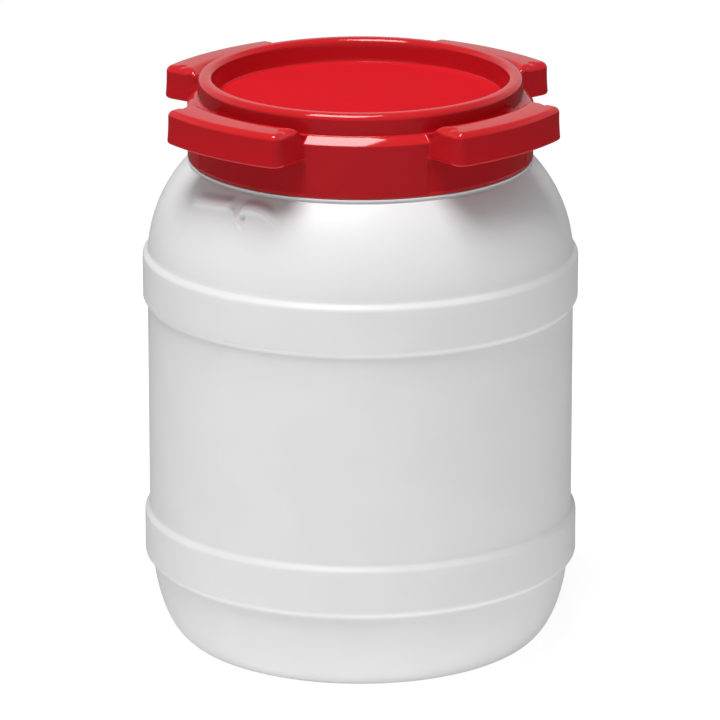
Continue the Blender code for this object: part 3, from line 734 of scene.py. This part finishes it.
def add_top(bm):
    """Dish and bead, out to where the valleys beside the grips start."""
    row = grip_row(*grip_section()[0])
    half_row = row[:WEB_STEPS + 1] + row[WEB_STEPS + END_STEPS + CORNER_STEPS + 1:]
    columns = [math.atan2(across, out) for across, out, z in whole(half_row)]
    rings = []
    for radius, z in dish_outline():
        ring = []
        for index, centre_angle in enumerate(GRIP_ANGLES):
            ring += [polar(radius, centre_angle + angle, z) for angle in columns]
            ring += [polar(radius, angle, z) for angle in gap_angles(index, columns[-1])]
        rings.append(ring)
    outer = []
    for index, centre_angle in enumerate(GRIP_ANGLES):
        outer += [place(centre_angle, (across, out), z) for across, out, z in whole(half_row)]
        outer += [polar(skirt_radius(LID_LEDGE_Z), angle, LID_LEDGE_Z)
                  for angle in gap_angles(index, columns[-1])]
    for low, high in zip(rings, rings[1:] + [outer]):
        strip(bm, low, high)


def add_outside(bm):
    """Shoulder and skirt between the grips, and the whole outer skin of the grips."""
    rings = []
    for section_point in grip_section():
        half_row = grip_row(*section_point)
        skirt_z = section_point[-1]
        half_angle = math.atan2(*half_row[0][:2])
        ring = []
        for index, centre_angle in enumerate(GRIP_ANGLES):
            ring += [place(centre_angle, (across, out), z) for across, out, z in whole(half_row)]
            ring += [polar(skirt_radius(skirt_z), angle, skirt_z)
                     for angle in gap_angles(index, half_angle)]
        rings.append(ring)
    for low, high in zip(rings, rings[1:]):
        strip(bm, low, high)


def ceiling_z(radius):
    """Height of a hollow's ceiling, which follows the crown above it."""
    share = smooth((radius - CEILING_STEP_RADIUS) / CEILING_WALL)
    return mix(LID_LEDGE_Z, GRIP_TOP_Z, share) - CEILING_WALL


def pit_half(inset):
    """Outline of a grip's hollow from its corner at the skirt to its middle."""
    outside = outer_half(inset, GRIP_CORNER - inset)
    return end_wall(on_line(wall_offset(inset), RECESS_RADIUS), outside[0]) + outside


def pit_inside(pit_path):
    """The hollow's side at the skirt, on the columns of its outside."""
    spread = pit_path[0][0] / pit_path[END_STEPS][0]
    across = [point[0] * spread for point in pit_path[END_STEPS:]]
    return [(side, math.sqrt(RECESS_RADIUS ** 2 - side ** 2)) for side in across]


def add_rims_and_hollows(bm):
    """Rounded lower edges of the grips and the hollow inside each."""
    outer_path = [(across, out) for across, out, z in grip_row(*grip_section()[-1])]
    pit_path = pit_half(PIT_LEVELS[0][1])
    inner_path = [pit_path[0]] * WEB_STEPS + pit_path
    rim_halves = []
    for share, rise in RIM_PROFILE:
        rim_halves.append([along(a, b, share) for a, b in zip(outer_path, inner_path)])
    for centre_angle in GRIP_ANGLES:
        rims = []
        for half_points, (share, rise) in zip(rim_halves, RIM_PROFILE):
            rims.append([place(centre_angle, point, GRIP_Z + rise) for point in whole(half_points)])
        outer_rows = []
        inner_rows = []
        for share, inset in PIT_LEVELS:
            far = pit_half(inset)
            for rows, points in ((outer_rows, far), (inner_rows, pit_inside(far))):
                row = []
                for point in whole(points):
                    z = mix(PIT_FOOT_Z, ceiling_z(math.hypot(*point)), share)
                    row.append(place(centre_angle, point, z))
                rows.append(row)
        ceiling_rows = []
        near = pit_inside(far)
        far = far[END_STEPS:]
        for step in range(END_STEPS + 1):
            points = [along(a, b, step / END_STEPS) for a, b in zip(near, far)]
            ceiling_rows.append([place(centre_angle, point, ceiling_z(math.hypot(*point)))
                                 for point in whole(points)])
        for rows in (rims, outer_rows, inner_rows, ceiling_rows):
            for low, high in zip(rows, rows[1:]):
                strip(bm, low, high, closed=False)
    return rim_halves


def add_skirt(bm, rim_halves):
    """Skirt below the grips, its rounded lip, and everything inside the lid."""
    inner = pit_inside(pit_half(PIT_LEVELS[0][1]))
    half_points = [half[0] for half in rim_halves] + inner[1:]
    rises = [rise for share, rise in RIM_PROFILE] + [PIT_FOOT_Z - GRIP_Z] * len(inner[1:])
    recess = SKIRT_RADIUS - RECESS_RADIUS
    half_columns = []
    for (across, out), rise in zip(half_points, rises):
        radius = math.hypot(across, out)
        half_columns.append((math.atan2(across, out), (SKIRT_RADIUS - radius) / recess, rise))
    columns = [(-angle, depth, rise) for angle, depth, rise in half_columns] + half_columns[-2::-1]
    gap_half = half_columns[0][0]

    def ring(radius_at, z_at):
        points = []
        for index, centre_angle in enumerate(GRIP_ANGLES):
            points += [polar(radius_at(centre_angle + angle, depth), centre_angle + angle, z_at(rise))
                       for angle, depth, rise in columns]
            points += [polar(radius_at(angle, 0), angle, z_at(RIM_JOIN_Z - GRIP_Z))
                       for angle in gap_angles(index, gap_half)]
        return points

    def recess_share(z):
        if z > RECESS_FOOT_Z:
            return mix(RECESS_FOOT_SHARE, 1, (z - RECESS_FOOT_Z) / (RIM_JOIN_Z - RECESS_FOOT_Z))
        above_lip = (z - SKIRT_Z - SKIRT_LIP) / (RECESS_FOOT_Z - SKIRT_Z - SKIRT_LIP)
        return RECESS_FOOT_SHARE * smooth(above_lip)

    def level_ring(radius, z):
        return ring(lambda angle, depth: radius, lambda rise: z)

    rings = [ring(lambda angle, depth: SKIRT_RADIUS - recess * depth, lambda rise: GRIP_Z + rise)]
    for z in RECESS_LEVELS:
        share = recess_share(z)
        rings.append(ring(lambda angle, depth: SKIRT_RADIUS - recess * smooth(depth * 2) * share,
                          lambda rise: z))
    outside_foot = (SKIRT_RADIUS, SKIRT_Z)
    inside_foot = (SKIRT_INNER_RADIUS, SKIRT_Z)
    lip = fillet((SKIRT_RADIUS, RIM_Z), outside_foot, inside_foot, SKIRT_LIP, 7)
    lip += fillet(outside_foot, inside_foot, (SKIRT_INNER_RADIUS, RIM_Z), LID_INNER_FILLET, 3)
    rings += [level_ring(radius, z) for radius, z in lip]
    under_ledge_z = LID_LEDGE_Z - LID_LEDGE_WALL
    for step in range(1, LID_THREAD_ROWS):
        z = mix(SKIRT_Z + LID_INNER_FILLET, under_ledge_z - LID_INNER_FILLET, step / LID_THREAD_ROWS)
        rings.append(ring(lambda angle, depth: SKIRT_INNER_RADIUS - thread_height(LID_THREAD, angle, z),
                          lambda rise: z))
    under_disc_z = DISC_Z - DISC_WALL
    corners = [inside_foot, (SKIRT_INNER_RADIUS, under_ledge_z), (CHANNEL_RADIUS, under_ledge_z),
               (CHANNEL_RADIUS, CHANNEL_ROOF_Z), (PLUG_RADIUS, CHANNEL_ROOF_Z),
               (PLUG_RADIUS, under_disc_z), (0.0, under_disc_z)]
    inside = []
    for before, corner, after in zip(corners, corners[1:], corners[2:]):
        inside += fillet(before, corner, after, LID_INNER_FILLET, 3)
    inside += [(radius, under_disc_z) for radius in UNDER_DISC_RADII]
    rings += [level_ring(radius, z) for radius, z in inside]
    for low, high in zip(rings, rings[1:]):
        strip(bm, low, high)


def build_lid(materials):
    bm = bmesh.new()
    add_top(bm)
    add_outside(bm)
    add_skirt(bm, add_rims_and_hollows(bm))
    lid = finish_mesh("lid_shell", bm, "lid", "screw_lid", materials, sharp=42)
    for polygon in lid.data.polygons:
        middle = polygon.center
        on_disc = math.hypot(middle.x, middle.y) < DISH_RADIUS - DISC_COLOUR_INSET
        if on_disc and DISC_COLOUR_LOWEST_Z < middle.z < DISC_COLOUR_TOP_Z:
            polygon.material_index = 1
    return lid


# Materials

def new_material(name):
    material = bpy.data.materials.new(name)
    material.use_nodes = True
    tree = material.node_tree
    return material, tree, tree.nodes["Principled BSDF"]


def add_noise(tree, scale, detail, roughness=0.5):
    noise = tree.nodes.new("ShaderNodeTexNoise")
    noise.inputs["Scale"].default_value = scale
    noise.inputs["Detail"].default_value = detail
    noise.inputs["Roughness"].default_value = roughness
    where = tree.nodes.new("ShaderNodeTexCoord")
    tree.links.new(where.outputs["Object"], noise.inputs["Vector"])
    return noise.outputs["Fac"]


def add_range(tree, value, low, high, from_low=0.3, from_high=0.7):
    spread = tree.nodes.new("ShaderNodeMapRange")
    spread.inputs["From Min"].default_value = from_low
    spread.inputs["From Max"].default_value = from_high
    spread.inputs["To Min"].default_value = low
    spread.inputs["To Max"].default_value = high
    tree.links.new(value, spread.inputs["Value"])
    return spread.outputs["Result"]


def add_colours(tree, value, low, high):
    blend = tree.nodes.new("ShaderNodeMix")
    blend.data_type = 'RGBA'
    blend.inputs["A"].default_value = (*low, 1)
    blend.inputs["B"].default_value = (*high, 1)
    tree.links.new(value, blend.inputs["Factor"])
    return blend.outputs["Result"]


def add_bump(tree, shader, value, distance, strength):
    bump = tree.nodes.new("ShaderNodeBump")
    bump.inputs["Strength"].default_value = strength
    bump.inputs["Distance"].default_value = distance
    tree.links.new(value, bump.inputs["Height"])
    tree.links.new(bump.outputs["Normal"], shader.inputs["Normal"])


def plastic(name, colours, roughness, level, grain, bump):
    """Moulded plastic: slow colour drift, finer changes of gloss, and a fine skin grain."""
    material, tree, shader = new_material(name)
    drift = add_range(tree, add_noise(tree, DRIFT_SCALE, 2.0), 0, 1)
    tree.links.new(add_colours(tree, drift, *colours), shader.inputs["Base Color"])
    gloss = add_noise(tree, GLOSS_SCALE, 3.0, 0.6)
    tree.links.new(add_range(tree, gloss, *roughness), shader.inputs["Roughness"])
    add_bump(tree, shader, add_noise(tree, grain, 2.0), GRAIN_DEPTH, bump)
    shader.inputs["Specular IOR Level"].default_value = level
    return material


def paint_wall_shade(material, colour):
    """Painted shade: upright walls in a deeper colour than tops and rounded edges, as the photo shows
    them, standing in for the weaker light that falls on them.
    """
    tree = material.node_tree
    base = tree.nodes["Principled BSDF"].inputs["Base Color"]
    where = tree.nodes.new("ShaderNodeTexCoord")
    split = tree.nodes.new("ShaderNodeSeparateXYZ")
    tree.links.new(where.outputs["Normal"], split.inputs["Vector"])
    tilt = tree.nodes.new("ShaderNodeMath")
    tilt.operation = 'ABSOLUTE'
    tree.links.new(split.outputs["Z"], tilt.inputs[0])
    blend = tree.nodes.new("ShaderNodeMix")
    blend.data_type = 'RGBA'
    blend.inputs["A"].default_value = (*colour, 1)
    tree.links.new(base.links[0].from_socket, blend.inputs["B"])
    tree.links.new(add_range(tree, tilt.outputs[0], 0, 1, *RED_WALL_SHADE_TILTS), blend.inputs["Factor"])
    tree.links.new(blend.outputs["Result"], base)


def make_materials():
    white = plastic("white_polyethylene", WHITE_COLOURS, (0.36, 0.46), level=0.4, grain=900, bump=0.02)
    shader = white.node_tree.nodes["Principled BSDF"]
    shader.inputs["Subsurface Weight"].default_value = 0.12
    shader.inputs["Subsurface Radius"].default_value = (0.004, 0.0038, 0.0035)
    shader.inputs["Subsurface Scale"].default_value = 1.0
    red = plastic("red_gloss", RED_COLOURS, (0.07, 0.12), level=0.5, grain=500, bump=0.008)
    # Painted shade: the red is darker on the lid's upright walls.
    paint_wall_shade(red, RED_WALL_SHADE_COLOUR)
    red_disc = plastic("red_disc", RED_DISC_COLOURS, (0.5, 0.58), level=0.0, grain=1400, bump=0.05)
    seal = plastic("seal_grey", SEAL_COLOURS, (0.55, 0.7), level=0.4, grain=1200, bump=0.08)
    return white, red, red_disc, seal


# Room, lamps and camera

def add_mask(tree, names):
    """1 for the kinds of ray that are named, 0 for others."""
    path = tree.nodes.new("ShaderNodeLightPath")
    mask = path.outputs[names[0]]
    for name in names[1:]:
        larger = tree.nodes.new("ShaderNodeMath")
        larger.operation = 'MAXIMUM'
        tree.links.new(mask, larger.inputs[0])
        tree.links.new(path.outputs[name], larger.inputs[1])
        mask = larger.outputs[0]
    return mask


def add_choice(tree, mask, otherwise, chosen):
    """One grey or another by a mask. Each is a number or a socket."""
    blend = tree.nodes.new("ShaderNodeMix")
    for socket, value in ((blend.inputs["A"], otherwise), (blend.inputs["B"], chosen)):
        if isinstance(value, float):
            socket.default_value = value
        else:
            tree.links.new(value, socket)
    tree.links.new(mask, blend.inputs["Factor"])
    return blend.outputs["Result"]


def make_world():
    """White to the camera, dim as a lamp, and in gloss palest low down behind the object."""
    world = bpy.data.worlds.new("room")
    bpy.context.scene.world = world
    world.use_nodes = True
    tree = world.node_tree
    where = tree.nodes.new("ShaderNodeTexCoord")
    split = tree.nodes.new("ShaderNodeSeparateXYZ")
    tree.links.new(where.outputs["Generated"], split.inputs["Vector"])
    behind = add_range(tree, split.outputs["Y"], 0, 1, -0.3, 0.3)
    low = add_range(tree, split.outputs["Z"], 1, 0, 0.5, 0.62)
    both = tree.nodes.new("ShaderNodeMath")
    both.operation = 'MULTIPLY'
    tree.links.new(behind, both.inputs[0])
    tree.links.new(low, both.inputs[1])
    gloss = add_range(tree, both.outputs[0], WORLD_GLOSS_DARK, WORLD_GLOSS_PALE, 0, 1)
    seen = add_choice(tree, add_mask(tree, ["Is Glossy Ray"]), 1.0, gloss)
    mask = add_mask(tree, ["Is Camera Ray", "Is Glossy Ray", "Is Transmission Ray"])
    grey = add_choice(tree, mask, WORLD_LIGHT, seen)
    tree.links.new(grey, tree.nodes["Background"].inputs["Color"])


def make_floor():
    """White to the camera apart from the object's shadow, and dark in gloss."""
    material, tree, shader = new_material("pale_floor")
    shader.inputs["Roughness"].default_value = 0.9
    shader.inputs["Specular IOR Level"].default_value = 0.0
    camera_ray = add_mask(tree, ["Is Camera Ray"])
    glossy_ray = add_mask(tree, ["Is Glossy Ray"])
    diffuse = add_choice(tree, camera_ray, FLOOR_GREY, FLOOR_GREY_SEEN)
    base = add_choice(tree, glossy_ray, diffuse, FLOOR_GREY_GLOSS)
    tree.links.new(base, shader.inputs["Base Color"])
    shader.inputs["Emission Color"].default_value = (1, 1, 1, 1)
    glow = add_choice(tree, glossy_ray, add_choice(tree, camera_ray, FLOOR_GLOW, FLOOR_GLOW_SEEN), 0.0)
    tree.links.new(glow, shader.inputs["Emission Strength"])
    bpy.ops.mesh.primitive_plane_add(size=FLOOR_SIZE, location=(0, 0, 0))
    floor = bpy.context.object
    floor.name = "studio_floor"
    floor.data.materials.append(material)


def add_aimed(name, data, location, target):
    """An object for a lamp's or a camera's data that looks from its place to a target."""
    aimed = bpy.data.objects.new(name, data)
    bpy.context.collection.objects.link(aimed)
    aimed.location = location
    aimed.rotation_euler = (Vector(target) - Vector(location)).to_track_quat('-Z', 'Y').to_euler()
    return aimed


def make_lamp():
    data = bpy.data.lights.new("overhead_box", 'AREA')
    data.shape = 'RECTANGLE'
    data.size, data.size_y = LAMP_SIZE
    data.energy = LAMP_WATTS
    add_aimed("overhead_box", data, LAMP_PLACE, LAMP_TARGET)


def make_camera():
    data = bpy.data.cameras.new("camera")
    data.sensor_width = CAMERA_SENSOR
    data.lens = CAMERA_LENS
    data.clip_end = 100
    bpy.context.scene.camera = add_aimed("camera", data, CAMERA_PLACE, CAMERA_TARGET)


def main():
    bpy.context.scene.view_settings.view_transform = 'Standard'
    white, red, red_disc, seal = make_materials()
    build_body(white)
    build_seal(seal)
    build_lid([red, red_disc])
    make_world()
    make_floor()
    make_lamp()
    make_camera()


main()
